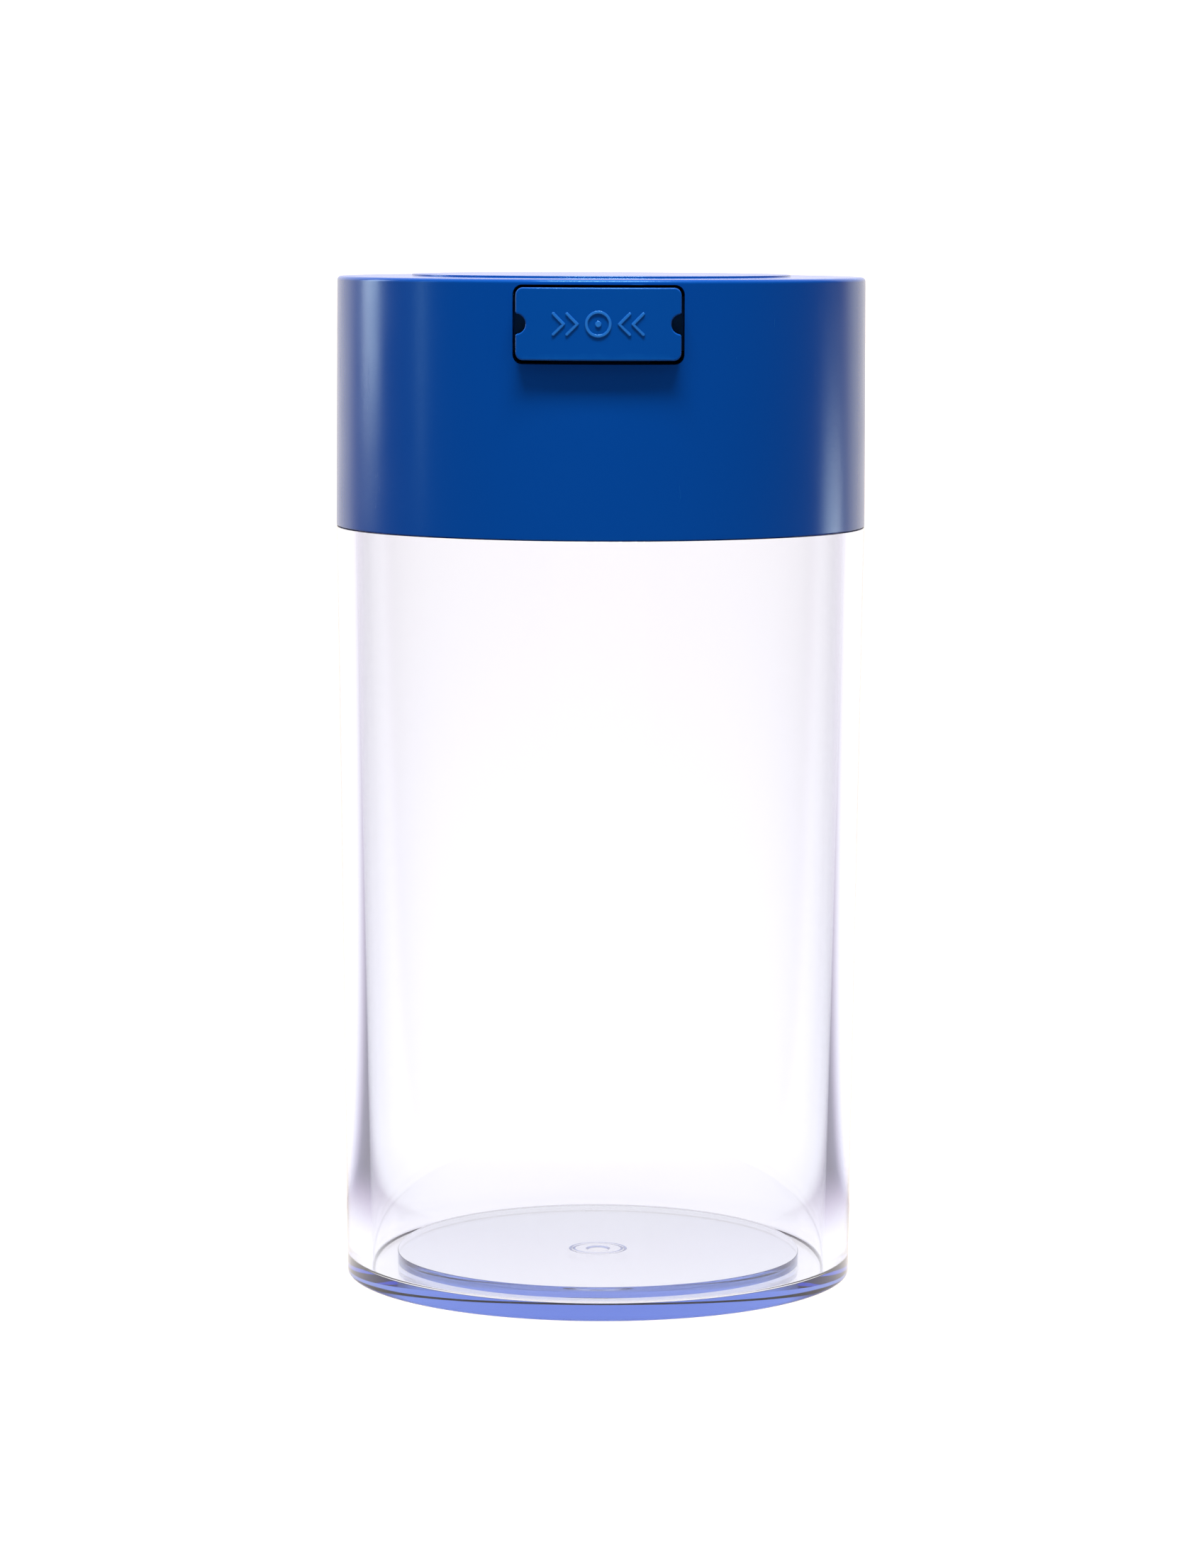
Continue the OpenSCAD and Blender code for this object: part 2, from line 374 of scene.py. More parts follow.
def clear_plastic():
    """Clear moulded styrene with its tint in its depth, and faint waves and smudges on its skin."""
    material, tree, shader = new_material("clear_styrene", (1, 1, 1), 0.0, 1.57)
    shader.inputs["Transmission Weight"].default_value = 1
    absorb = tree.nodes.new("ShaderNodeVolumeAbsorption")
    absorb.inputs["Color"].default_value = CLEAR_TINT
    absorb.inputs["Density"].default_value = CLEAR_DENSITY
    tree.links.new(absorb.outputs[0], tree.nodes["Material Output"].inputs["Volume"])
    smudge = spread(tree, noise(tree, 60, detail=5), 0.6, 0.8, 0.0, 0.012)
    tree.links.new(smudge, shader.inputs["Roughness"])
    bump(tree, shader, noise(tree, 35, detail=2, stretch=(1, 1, 0.35)), 0.000012)
    return material


def seal_material(name, colour):
    """Silicone rubber: a matt grain and a dusting of pale bloom."""
    material, tree, shader = new_material(name, colour, 0.55, 1.42)
    dust = spread(tree, noise(tree, 120, detail=6), 0.45, 0.75, 0.0, 0.6)
    pale = tuple(min(1.0, c * 1.18) for c in colour)
    tree.links.new(blend_colours(tree, dust, colour, pale), shader.inputs["Base Color"])
    uneven = spread(tree, noise(tree, 250, detail=4), 0.3, 0.7, 0.45, 0.65)
    tree.links.new(uneven, shader.inputs["Roughness"])
    shader.inputs["Subsurface Weight"].default_value = 0.1
    shader.inputs["Subsurface Scale"].default_value = 0.001
    bump(tree, shader, noise(tree, 4000, detail=2), 0.00001)
    return material


def steel_wire():
    """Drawn spring wire, with fine die lines along it and a little tarnish."""
    material, tree, shader = new_material("spring_steel", (0.6, 0.6, 0.62), 0.28)
    shader.inputs["Metallic"].default_value = 1
    tarnish = spread(tree, noise(tree, 500, detail=5), 0.4, 0.75, 0.0, 1.0)
    tinted = blend_colours(tree, tarnish, (0.62, 0.62, 0.63), (0.42, 0.38, 0.34))
    tree.links.new(tinted, shader.inputs["Base Color"])
    tree.links.new(spread(tree, tarnish, 0, 1, 0.2, 0.4), shader.inputs["Roughness"])
    bump(tree, shader, noise(tree, 6000, detail=2, stretch=(1, 0.2, 1)), 0.000006)
    return material


clear = clear_plastic()
blue = moulded(
    "blue_cap",
    colour=(0.0, 0.047, 0.255),
    wear_and_highlight=(0.01, 0.12, 0.42),
    roughness=(0.18, 0.25),
    grain=2600,
    grain_depth=0.000006,
    shine=0.6,
    wave_depth=0.00003,
)
button_blue = moulded(
    "blue_button",
    colour=(0.0, 0.053, 0.27),
    wear_and_highlight=(0.01, 0.15, 0.48),
    roughness=(0.18, 0.25),
    grain=2600,
    grain_depth=0.000005,
    shine=0.7,
)
# The button's raised mark gets a painted highlight, a lighter blue on its top.
paint_highlight_on_mark(button_blue, (0.02, 0.16, 0.5))
liner_blue = moulded(
    "blue_liner",
    colour=(0.004, 0.08, 0.42),
    wear_and_highlight=(0.02, 0.14, 0.5),
    roughness=(0.32, 0.42),
    grain=2000,
    grain_depth=0.00001,
)
stem_white = moulded(
    "stem_plastic",
    colour=(0.8, 0.8, 0.78),
    wear_and_highlight=(0.86, 0.86, 0.85),
    roughness=(0.35, 0.45),
    grain=1800,
    grain_depth=0.00001,
)
rubber = seal_material("seal_rubber", (0.70, 0.71, 0.72))
steel = steel_wire()


# ---------------------------------------------------------------- the clear vessel
def vessel():
    """The clear body: up the outside from the dimple under its floor, and down the inside."""
    lean = math.atan((NECK_BORE - FLOOR_R) / (SHOULDER_Z - FLOOR_T))
    slope = (CAP_RIM_R - FOOT_R) / SHOULDER_Z
    wall_lean = math.degrees(math.atan(slope))
    edge = FOOT_EDGE
    foot_x = FOOT_R + slope * edge - edge / math.cos(math.radians(wall_lean))
    low_arc = arc((foot_x, edge), edge, -90, -wall_lean)
    shoulder_edge = 0.12
    top_x = CAP_RIM_R - slope * shoulder_edge - shoulder_edge / math.cos(math.radians(wall_lean))
    top_arc = arc((top_x, SHOULDER_Z - shoulder_edge), shoulder_edge, -wall_lean, 90)
    neck_edge = 0.5
    neck_arc = arc((NECK_R - neck_edge, NECK_TOP - neck_edge), neck_edge, 0, 90)
    bore_edge = 0.25
    bore_arc = arc((NECK_BORE + bore_edge, NECK_TOP - bore_edge), bore_edge, 90, 180)
    fillet = FLOOR_FILLET
    arc_x = FLOOR_R - fillet * (1 - math.sin(lean)) / math.cos(lean)
    floor_arc = arc((arc_x, FLOOR_T + fillet), fillet, -math.degrees(lean), -90, 12)
    dimple_end = math.degrees(math.asin(DIMPLE_DROP / DIMPLE_R))
    dimple = arc((0, -DIMPLE_DROP), DIMPLE_R, 90, dimple_end, 10)
    raised_edge = 0.12
    raised_z = FLOOR_T + RAISED_H
    raised_arc = arc((RAISED_R - raised_edge, raised_z - raised_edge), raised_edge, 0, 90, 6)
    stretches = [
        dimple,
        line(dimple[-1][:2], (GROOVE_AT - GROOVE_EDGE_R, 0)),
        arc((GROOVE_AT, 0), GROOVE_EDGE_R, 180, 0, 12),
        line((GROOVE_AT + GROOVE_EDGE_R, 0), low_arc[0][:2], 6),
        low_arc,
        line(low_arc[-1][:2], top_arc[0][:2], 60),
        top_arc,
        line(top_arc[-1][:2], (NECK_R, SHOULDER_Z)),
        line((NECK_R, SHOULDER_Z), neck_arc[0][:2], 10),
        neck_arc,
        line(neck_arc[-1][:2], bore_arc[0][:2]),
        bore_arc,
        line(bore_arc[-1][:2], (NECK_BORE, SHOULDER_Z), 10),
        line((NECK_BORE, SHOULDER_Z), floor_arc[0][:2], 60),
        floor_arc,
        line(floor_arc[-1][:2], (RAISED_R, FLOOR_T), 3),
        line((RAISED_R, FLOOR_T), raised_arc[0][:2]),
        raised_arc,
        line(raised_arc[-1][:2], (0, raised_z), 6),
    ]
    skin = Skin()
    lathe(skin, stretches, TURNED_COUNT)
    return skin.make("vessel", clear, "canister", "clear_plastic", "canister_body")


vessel()


# ---------------------------------------------------------------- the cap
def rounded_outline(half_w, half_h, radius, steps=8):
    """A rounded rectangle about the origin, counter-clockwise, as (point, outward normal)."""
    outline = []
    for quarter, (sx, sz) in enumerate(((1, -1), (1, 1), (-1, 1), (-1, -1))):
        centre = (sx * (half_w - radius), sz * (half_h - radius))
        for i in range(steps + 1):
            a = math.radians(-90 + 90 * quarter + 90 * i / steps)
            outline.append((
                (centre[0] + radius * math.cos(a), centre[1] + radius * math.sin(a)),
                (math.cos(a), math.sin(a)),
            ))
    return outline


def divided(outline, longest):
    """The outline with points added along its straight stretches."""
    result = []
    for i, (point, normal) in enumerate(outline):
        after, _ = outline[(i + 1) % len(outline)]
        length = math.dist(point, after)
        steps = max(1, math.ceil(length / longest))
        for k in range(steps):
            t = k / steps
            place = tuple(p + (q - p) * t for p, q in zip(point, after))
            result.append((place, normal))
    return result


def rounded_distance(x, z, half_w, half_h, radius):
    """Signed distance from a rounded rectangle about the origin."""
    qx = abs(x) - half_w + radius
    qz = abs(z) - half_h + radius
    outside = math.hypot(max(qx, 0), max(qz, 0))
    return outside + min(max(qx, qz), 0) - radius


def wall_r(z):
    """The radius of the cap's outside, which widens a little towards its rim."""
    slope = (CAP_RIM_R - CAP_R) / (EDGE_Z - RIM_Z)
    return CAP_R + slope * (EDGE_Z - z)


def skirt_r(z):
    """The radius of the cap's inside, the same at every height."""
    return SKIRT_R


def on_wall(x, z, r):
    """The front point of an upright cylinder at x and z, and the normal there."""
    angle = math.asin(x / r)
    return (x, -r * math.cos(angle), z), (math.sin(angle), -math.cos(angle), 0)


def in_patch(angle, low, high):
    """True for the stretch of wall round the window, inside and outside, which patch() fills."""
    inside = min(angle, 2 * math.pi - angle) < PATCH_ANGLE
    rising = min(low[1], high[1]) > PATCH_LOW - 1e-6
    falling = max(low[1], high[1]) < PATCH_HIGH + 1e-6
    upright = abs(low[2]) > 0.9 and abs(high[2]) > 0.9
    return inside and rising and falling and upright


def cap_turned(skin):
    """What a lathe can make of the cap, inside and out."""
    rim_edge = 0.15
    step_edge = 0.15
    top_edge = CAP_TOP_EDGE
    rim_arc = arc((CAP_RIM_R - rim_edge, RIM_Z + rim_edge), rim_edge, -90, 0)
    top_arc = arc((CAP_R - top_edge, EDGE_Z - top_edge), top_edge, 0, 90, 12)
    rim_in_arc = arc((SKIRT_R + rim_edge, RIM_Z + rim_edge), rim_edge, 180, 270)
    step_foot = arc((PLATEAU_R + step_edge, EDGE_Z + step_edge), step_edge, -90, -180, 6)
    step_top = arc((PLATEAU_R - step_edge, TOTAL_H - step_edge), step_edge, 0, 90, 6)
    stretches = [
        rim_in_arc,
        line(rim_in_arc[-1][:2], rim_arc[0][:2]),
        rim_arc,
        line(rim_arc[-1][:2], (wall_r(PATCH_LOW), PATCH_LOW), 16),
        line((wall_r(PATCH_LOW), PATCH_LOW), (top_arc[0][0], PATCH_HIGH), PATCH_ROWS),
        top_arc,
        line(top_arc[-1][:2], step_foot[0][:2], 10),
        step_foot,
        line(step_foot[-1][:2], step_top[0][:2]),
        step_top,
        line(step_top[-1][:2], (0, TOTAL_H), 12),
        line((0, WINDOW_TOP), (SKIRT_R, WINDOW_TOP), 10),
        line((SKIRT_R, WINDOW_TOP), (SKIRT_R, PATCH_INNER_HIGH)),
        line((SKIRT_R, PATCH_INNER_HIGH), (SKIRT_R, PATCH_LOW), PATCH_ROWS),
        line((SKIRT_R, PATCH_LOW), rim_in_arc[0][:2], 10),
    ]
    lathe(skin, stretches, TURNED_COUNT, in_patch)


def patch(skin, hole, hole_corner, radius, high, outward):
    """The wall between the window's edge and the rectangle that the lathe left out."""
    columns = round(2 * PATCH_ANGLE / (2 * math.pi / TURNED_COUNT))
    width = 2 * PATCH_ANGLE
    height = high - PATCH_LOW
    around_hole = []
    for i in range(columns):
        around_hole.append((-PATCH_ANGLE + width * i / columns, PATCH_LOW))
    for i in range(PATCH_ROWS):
        around_hole.append((PATCH_ANGLE, PATCH_LOW + height * i / PATCH_ROWS))
    for i in range(columns):
        around_hole.append((PATCH_ANGLE - width * i / columns, high))
    for i in range(PATCH_ROWS):
        around_hole.append((-PATCH_ANGLE, high - height * i / PATCH_ROWS))
    unrolled_r = 40.0
    points = [(a * unrolled_r, z) for a, z in around_hole]
    points += [(math.asin(x / radius(z)) * unrolled_r, z) for x, z in hole]
    edges = loop_edges(0, len(around_hole)) + loop_edges(len(around_hole), len(hole))
    places, _, faces = triangles(points, edges)
    half_w = max(x for x, _ in hole)
    half_h = (max(z for _, z in hole) - min(z for _, z in hole)) / 2
    for face in faces:
        corners = []
        for index in face:
            u, z = places[index]
            r = radius(z)
            s = math.sin(u / unrolled_r)
            c = math.cos(u / unrolled_r)
            corners.append(((r * s, -r * c, z), (s * outward, -c * outward, 0)))
        x = sum(p[0][0] for p in corners) / 3
        z = sum(p[0][2] for p in corners) / 3
        if rounded_distance(x, z - WINDOW_MID, half_w, half_h, hole_corner) < 0:
            continue
        skin.face(corners if outward > 0 else corners[::-1])


def window(skin):
    """The window's rounded edge and its sides, and the wall round it."""
    half_h = (WINDOW_TOP - WINDOW_BOTTOM) / 2
    outline = divided(rounded_outline(WINDOW_W / 2, half_h, WINDOW_CORNER), OUTLINE_STEP)

    def edge_row(degrees):
        """One row of the rounded edge: 0 is on the cap's face, 90 in the window."""
        t = math.radians(degrees)
        row = []
        for (x, z), (nx, nz) in outline:
            px = x + nx * WINDOW_FILLET * (1 - math.sin(t))
            pz = z + nz * WINDOW_FILLET * (1 - math.sin(t)) + WINDOW_MID
            point, face = on_wall(px, pz, wall_r(pz))
            depth = WINDOW_FILLET * (1 - math.cos(t))
            normal = Vector(face) * math.cos(t) - Vector((nx, 0, nz)) * math.sin(t)
            row.append(((point[0], point[1] + depth, point[2]), tuple(normal)))
        return row

    rows = [edge_row(degrees) for degrees in (0, 18, 36, 54, 72, 90)]
    for outer, inner in zip(rows, rows[1:]):
        skin.strip(inner, outer)
    inner_row = []
    for (x, z), (nx, nz) in outline:
        point, _ = on_wall(x, z + WINDOW_MID, SKIRT_R)
        inner_row.append((point, (-nx, 0, -nz)))
    skin.strip(inner_row, rows[-1])
    face_hole = [(p[0], p[2]) for p, _ in rows[0]]
    back_hole = [(p[0], p[2]) for p, _ in inner_row]
    patch(skin, face_hole, WINDOW_CORNER + WINDOW_FILLET, wall_r, PATCH_HIGH, 1)
    patch(skin, back_hole, WINDOW_CORNER, skirt_r, PATCH_INNER_HIGH, -1)


def ledge_and_rails(skin):
    """The weld ledge inside, open where the button's guide is, and the guide's two rails."""
    ledge_top = PARTITION_TOP + LEDGE_H
    ledge = [
        line((SKIRT_R, PARTITION_TOP), (LEDGE_R, PARTITION_TOP)),
        line((LEDGE_R, PARTITION_TOP), (LEDGE_R, ledge_top))[::-1],
        line((LEDGE_R, ledge_top), (SKIRT_R, ledge_top)),
    ]
    count = 240
    rail_far = GUIDE_W / 2 + RAIL_T
    opening = math.asin(rail_far / SKIRT_R)
    step = (2 * math.pi - 2 * opening) / count
    for low, high in ledge:
        for i in range(count):
            a = opening + step * i
            b = opening + step * (i + 1)
            skin.face([around(low, a), around(low, b), around(high, b), around(high, a)])
    into_wall = 0.2
    over_partition = 0.3
    rail_front = -math.sqrt(SKIRT_R ** 2 - rail_far ** 2) - into_wall
    for side in (-1, 1):
        near = side * GUIDE_W / 2
        far = side * rail_far
        box(
            skin,
            (min(near, far), rail_front, PARTITION_TOP + over_partition),
            (max(near, far), GUIDE_END, WINDOW_TOP),
        )


def cap():
    skin = Skin()
    cap_turned(skin)
    window(skin)
    ledge_and_rails(skin)
    return skin.make("cap_cover", blue, "cap", "blue_plastic", "cap_shell")


cap_cover = cap()


# ---------------------------------------------------------------- the button
def swept(centre, radius, start, end, steps, side=1):
    """Points along a round stretch, between two angles in degrees, as (point, normal)."""
    points = []
    for i in range(steps + 1):
        a = math.radians(start + (end - start) * i / steps)
        points.append((
            (centre[0] + radius * math.cos(a), centre[1] + radius * math.sin(a)),
            (side * math.cos(a), side * math.sin(a)),
        ))
    return points


def button_outline():
    """The button's outline about its middle, with a round notch in each side edge."""
    half_w = BUTTON_W / 2
    half_h = BUTTON_H / 2
    corner = BUTTON_CORNER
    soft = 0.35
    soft_z = math.sqrt((NOTCH_R + soft) ** 2 - soft ** 2)
    bend = math.degrees(math.atan2(soft_z, soft))
    right = swept((half_w - corner, corner - half_h), corner, -90, 0, 8)
    right += swept((half_w - soft, -soft_z), soft, 0, bend, 5)
    right += swept((half_w, 0), NOTCH_R, bend - 180, -180 - bend, 16, -1)
    right += swept((half_w - soft, soft_z), soft, -bend, 0, 5)
    right += swept((half_w - corner, half_h - corner), corner, 0, 90, 8)
    left = [((-x, -z), (-nx, -nz)) for (x, z), (nx, nz) in right]
    return divided(right + left, OUTLINE_STEP)


def face_y(x):
    """How far forward the button's rounded face is at x."""
    return -math.sqrt(BUTTON_FACE_R ** 2 - x ** 2)


def face_normal(x):
    return Vector((x / BUTTON_FACE_R, face_y(x) / BUTTON_FACE_R, 0))


def circle_loop(centre, radius, count, side=1):
    return swept(centre, radius, 0, 360, count, side)[:-1]


def chevron_loop(tip, half, side):
    """The outline of a chevron of round strokes; half is half its line, side is where it points."""
    reach = CHEVRON_ARM / math.sqrt(2)
    high_end = (tip[0] - reach, tip[1] + reach)
    low_end = (tip[0] - reach, tip[1] - reach)
    loop = swept(tip, half, -45, 45, 6)
    loop += swept(high_end, half, 45, 225, 6)
    loop.append(((tip[0] - half * math.sqrt(2), tip[1]), (-1, 0)))
    loop += swept(low_end, half, 135, 315, 6)
    if side < 0:
        loop = [((2 * tip[0] - x, z), (-nx, nz)) for (x, z), (nx, nz) in reversed(loop)]
    return loop


def press_mark_loops():
    """Contours of the raised mark, as (points with normals, height, tilt), foot first."""
    levels = ((0.0, 0.0), (0.05, 0.12), (0.12, 0.18), (0.19, MARK_H))
    loops = []
    for inset, height in levels:
        half = MARK_LINE_HALF - inset
        tilt = 1 - height / MARK_H
        outlines = [
            circle_loop((0, 0), MARK_RING_R + half, 48),
            circle_loop((0, 0), MARK_RING_R - half, 40, -1),
            circle_loop((0, 0), MARK_DOT_R - inset, 16),
        ]
        for side in (-1, 1):
            for step in range(CHEVRONS):
                tip = (-side * (CHEVRON_TIP + CHEVRON_STEP * step), 0)
                outlines.append(chevron_loop(tip, half, side))
        loops += [(outline, height, tilt) for outline in outlines]
    return loops


def mark_distance(x, z):
    """How far a point is outside the mark's foot; negative inside it."""
    r = math.hypot(x, z)
    best = min(abs(r - MARK_RING_R) - MARK_LINE_HALF, r - MARK_DOT_R)
    reach = CHEVRON_ARM / math.sqrt(2)
    for step in range(CHEVRONS):
        px = CHEVRON_TIP + CHEVRON_STEP * step - abs(x)
        pz = abs(z)
        t = max(0.0, min(1.0, (-px + pz) / (2 * reach)))
        best = min(best, math.hypot(px + reach * t, pz - reach * t) - MARK_LINE_HALF)
    return best


def outside_button(x, z):
    """True where a point of the face's plane isn't on the button's flat."""
    half_w = BUTTON_W / 2 - BUTTON_FILLET
    half_h = BUTTON_H / 2 - BUTTON_FILLET
    in_notch = math.hypot(abs(x) - BUTTON_W / 2, z) < NOTCH_R + BUTTON_FILLET
    return in_notch or rounded_distance(x, z, half_w, half_h, BUTTON_CORNER - BUTTON_FILLET) > 0


def button_sides(skin, outline):
    """The sides and the rounded edge of the face; gives the first and last row."""
    rows = []
    for degrees in (0, 15, 30, 45, 60, 75, 90):
        t = math.radians(degrees)
        row = []
        for (x, z), (nx, nz) in outline:
            px = x - nx * BUTTON_FILLET * (1 - math.cos(t))
            pz = z - nz * BUTTON_FILLET * (1 - math.cos(t))
            depth = BUTTON_FILLET * (1 - math.sin(t))
            normal = Vector((nx, 0, nz)) * math.cos(t) + face_normal(px) * math.sin(t)
            row.append(((px, face_y(px) + depth, pz + BUTTON_MID), tuple(normal)))
        rows.append(row)
    for low, high in zip(rows, rows[1:]):
        skin.strip(low, high)
    back = [((x, BUTTON_BACK, z + BUTTON_MID), (nx, 0, nz)) for (x, z), (nx, nz) in outline]
    skin.strip(back, rows[0])
    return back, rows[-1]


def button_hollow(skin, back):
    """The rim of the open back, and the hollow inside it."""
    half_w = BUTTON_W / 2 - BUTTON_WALL
    half_h = BUTTON_H / 2 - BUTTON_WALL
    hollow = [(half_w, -half_h), (half_w, half_h), (-half_w, half_h), (-half_w, -half_h)]
    rim = [(p[0], p[2] - BUTTON_MID) for p, _ in back]
    edges = loop_edges(0, len(rim)) + loop_edges(len(rim), len(hollow))
    places, _, faces = triangles(rim + hollow, edges)
    for face in faces:
        x = sum(places[i][0] for i in face) / 3
        z = sum(places[i][1] for i in face) / 3
        in_notch = math.hypot(abs(x) - BUTTON_W / 2, z) < NOTCH_R
        if in_notch or (abs(x) < half_w and abs(z) < half_h):
            continue
        corners = [((places[i][0], BUTTON_BACK, places[i][1] + BUTTON_MID), (0, 1, 0)) for i in face]
        skin.face(corners[::-1])
    for (x, z), (next_x, next_z) in zip(hollow, hollow[1:] + hollow[:1]):
        way = tuple(Vector((z - next_z, 0, next_x - x)).normalized())
        skin.face([
            ((x, BUTTON_BACK, z + BUTTON_MID), way),
            ((next_x, BUTTON_BACK, next_z + BUTTON_MID), way),
            ((next_x, BUTTON_POCKET, next_z + BUTTON_MID), way),
            ((x, BUTTON_POCKET, z + BUTTON_MID), way),
        ])
    floor_corners = [((x, BUTTON_POCKET, z + BUTTON_MID), (0, 1, 0)) for x, z in hollow]
    skin.face(floor_corners[::-1])


def button_boss(skin):
    """The round boss in the hollow, with the hole that the valve's stem is pressed into."""
    hole_depth = 1.0
    circle = circle_loop((0, 0), 1.0, 40)

    def row(radius, y, side):
        return [
            ((x * radius, y, z * radius + BUTTON_MID), (nx * side, 0, nz * side))
            for (x, z), (nx, nz) in circle
        ]

    outer_foot = row(BOSS_R, BUTTON_POCKET, 1)
    outer_end = row(BOSS_R, BOSS_END, 1)
    hole_end = row(STEM_R, BOSS_END, -1)
    hole_floor = row(STEM_R, BOSS_END - hole_depth, -1)
    skin.strip(outer_end, outer_foot)
    skin.strip([(p, (0, 1, 0)) for p, _ in hole_end], [(p, (0, 1, 0)) for p, _ in outer_end])
    skin.strip(hole_floor, hole_end)


def button_ears(skin):
    """The two ears that hold the button in its guide."""
    into_hollow = 0.05
    for side in (-1, 1):
        near = side * (BUTTON_W / 2 - BUTTON_WALL + into_hollow)
        far = side * (BUTTON_W / 2 + EAR_W)
        box(
            skin,
            (min(near, far), BUTTON_BACK - EAR_T, BUTTON_MID - EAR_H / 2),
            (max(near, far), BUTTON_BACK, BUTTON_MID + EAR_H / 2),
        )


def button_face(skin, edge):
    """The rounded face inside the edge row, with the raised mark on it."""
    points = []
    edges = []
    info = []

    def add_loop(loop):
        edges.extend(loop_edges(len(points), len(loop)))
        points.extend(loop)

    add_loop([(p[0], p[2] - BUTTON_MID) for p, _ in edge])
    info += [(0.0, None, 0.0)] * len(points)
    for loop, height, tilt in press_mark_loops():
        add_loop([p for p, _ in loop])
        info += [(height, way, tilt) for _, way in loop]
    clear_of_mark = 0.2
    for i in range(-16, 17):
        for k in range(-6, 7):
            x = i * OUTLINE_STEP
            z = k * OUTLINE_STEP
            if mark_distance(x, z) > clear_of_mark:
                points.append((x, z))
                info.append((0.0, None, 0.0))
    places, sources, faces = triangles(points, edges)
    for face in faces:
        middle_x = sum(places[i][0] for i in face) / 3
        middle_z = sum(places[i][1] for i in face) / 3
        if outside_button(middle_x, middle_z):
            continue
        raised = mark_distance(middle_x, middle_z) < 0
        corners = []
        for i in face:
            x, z = places[i]
            height, way, tilt = info[sources[i][0]] if sources[i] else (0.0, None, 0.0)
            normal = face_normal(x)
            point = (x + normal.x * height, face_y(x) + normal.y * height, z + BUTTON_MID)
            if raised and way:
                normal = (normal + Vector((way[0], 0, way[1])) * tilt * 1.4).normalized()
            corners.append((point, tuple(normal)))
        skin.face(corners)


def button():
    skin = Skin()
    back, edge = button_sides(skin, button_outline())
    button_hollow(skin, back)
    button_boss(skin)
    button_ears(skin)
    button_face(skin, edge)
    return skin.make("thumb_button", button_blue, "button", "button_plastic", "press_button")


thumb_button = button()


# ---------------------------------------------------------------- the return spring
def spring():
    """Coiled wire with a closed turn at each end, drawn finer than its CAD node."""
    skin = Skin()
    steps = 48
    sides = 12
    closed_pitch = 2 * SPRING_WIRE_R * 1.06
    open_pitch = (SPRING_L - 2 * closed_pitch) / (SPRING_TURNS - 2)

    def along(turns):
        if turns < 1:
            return turns * closed_pitch
        if turns < SPRING_TURNS - 1:
            return closed_pitch + (turns - 1) * open_pitch
        return SPRING_L - (SPRING_TURNS - turns) * closed_pitch

    rings = []
    for i in range(SPRING_TURNS * steps + 1):
        turns = i / steps
        a = 2 * math.pi * turns
        ring = []
        for k in range(sides):
            b = 2 * math.pi * k / sides
            r = SPRING_R + SPRING_WIRE_R * math.cos(b)
            y = SPRING_START + along(turns) + SPRING_WIRE_R * math.sin(b)
            normal = (math.cos(b) * math.cos(a), math.sin(b), math.cos(b) * math.sin(a))
            ring.append(((r * math.cos(a), y, r * math.sin(a) + BUTTON_MID), normal))
        rings.append(ring)
    for ring, after in zip(rings, rings[1:]):
        skin.strip(ring, after)
    skin.face([(p, (0, 0, -1)) for p, _ in rings[0][::-1]])
    skin.face([(p, (0, 0, 1)) for p, _ in rings[-1]])
    coil = skin.make("button_spring", steel, "cap", "spring_steel", "return_spring")
    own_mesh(coil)


spring()

for name, material in (
    ("cap_liner", liner_blue),
    ("neck_seal", rubber),
    ("valve_disc", rubber),
    ("valve_stem", stem_white),
):
    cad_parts[name].data.materials[0] = material

# ---------------------------------------------------------------- stage, light and camera
scene = bpy.context.scene


def math_node(tree, operation, *values):
    """A sum of sockets or numbers."""
    made = tree.nodes.new("ShaderNodeMath")
    made.operation = operation
    for socket, value in zip(made.inputs, values):
        if isinstance(value, bpy.types.NodeSocket):
            tree.links.new(value, socket)
        else:
            socket.default_value = value
    return made.outputs[0]


def smooth_step(tree, value, low, high, out_low=0.0, out_high=1.0):
    result = spread(tree, value, low, high, out_low, out_high)
    result.node.interpolation_type = "SMOOTHSTEP"
    return result


def studio_colour(tree, level):
    """Warm white where the studio is bright, and faintly rosy where it is dim."""
    return blend_colours(tree, smooth_step(tree, level, DIM, 1.0), STUDIO_DIM, STUDIO_BRIGHT)


def studio_level(tree, x, y, painted_pool_near):
    """How bright the studio is towards x, y, for light that reaches the object.

    It is white behind the object, and dim beside it and in front of it. A camera that looks
    straight past the object sees plain white paper all round.
    """
    squares = math_node(tree, "MULTIPLY_ADD", x, x, math_node(tree, "MULTIPLY", y, y))
    reach = math_node(tree, "SQRT", squares)
    towards_back = math_node(tree, "DIVIDE", y, math_node(tree, "ADD", reach, 1e-5))
    edge_of_white = math.cos(math.radians(54))
    full_white = math.cos(math.radians(38))
    pale = smooth_step(tree, towards_back, edge_of_white, full_white)
    # On the table, a painted pool of light: it glows pale within a few centimetres of the object.
    if painted_pool_near:
        near = smooth_step(tree, reach, 0.045, 0.11, 1.0, 0.0)
        pale = math_node(tree, "MAXIMUM", pale, near)
    rays = tree.nodes.new("ShaderNodeLightPath")
    pale = math_node(tree, "MAXIMUM", pale, rays.outputs["Is Camera Ray"])
    dim = math_node(tree, "MULTIPLY_ADD", rays.outputs["Is Glossy Ray"], DIM_GLOSSY - DIM, DIM)
    rest = math_node(tree, "SUBTRACT", 1.0, dim)
    return math_node(tree, "ADD", math_node(tree, "MULTIPLY", pale, rest), dim)


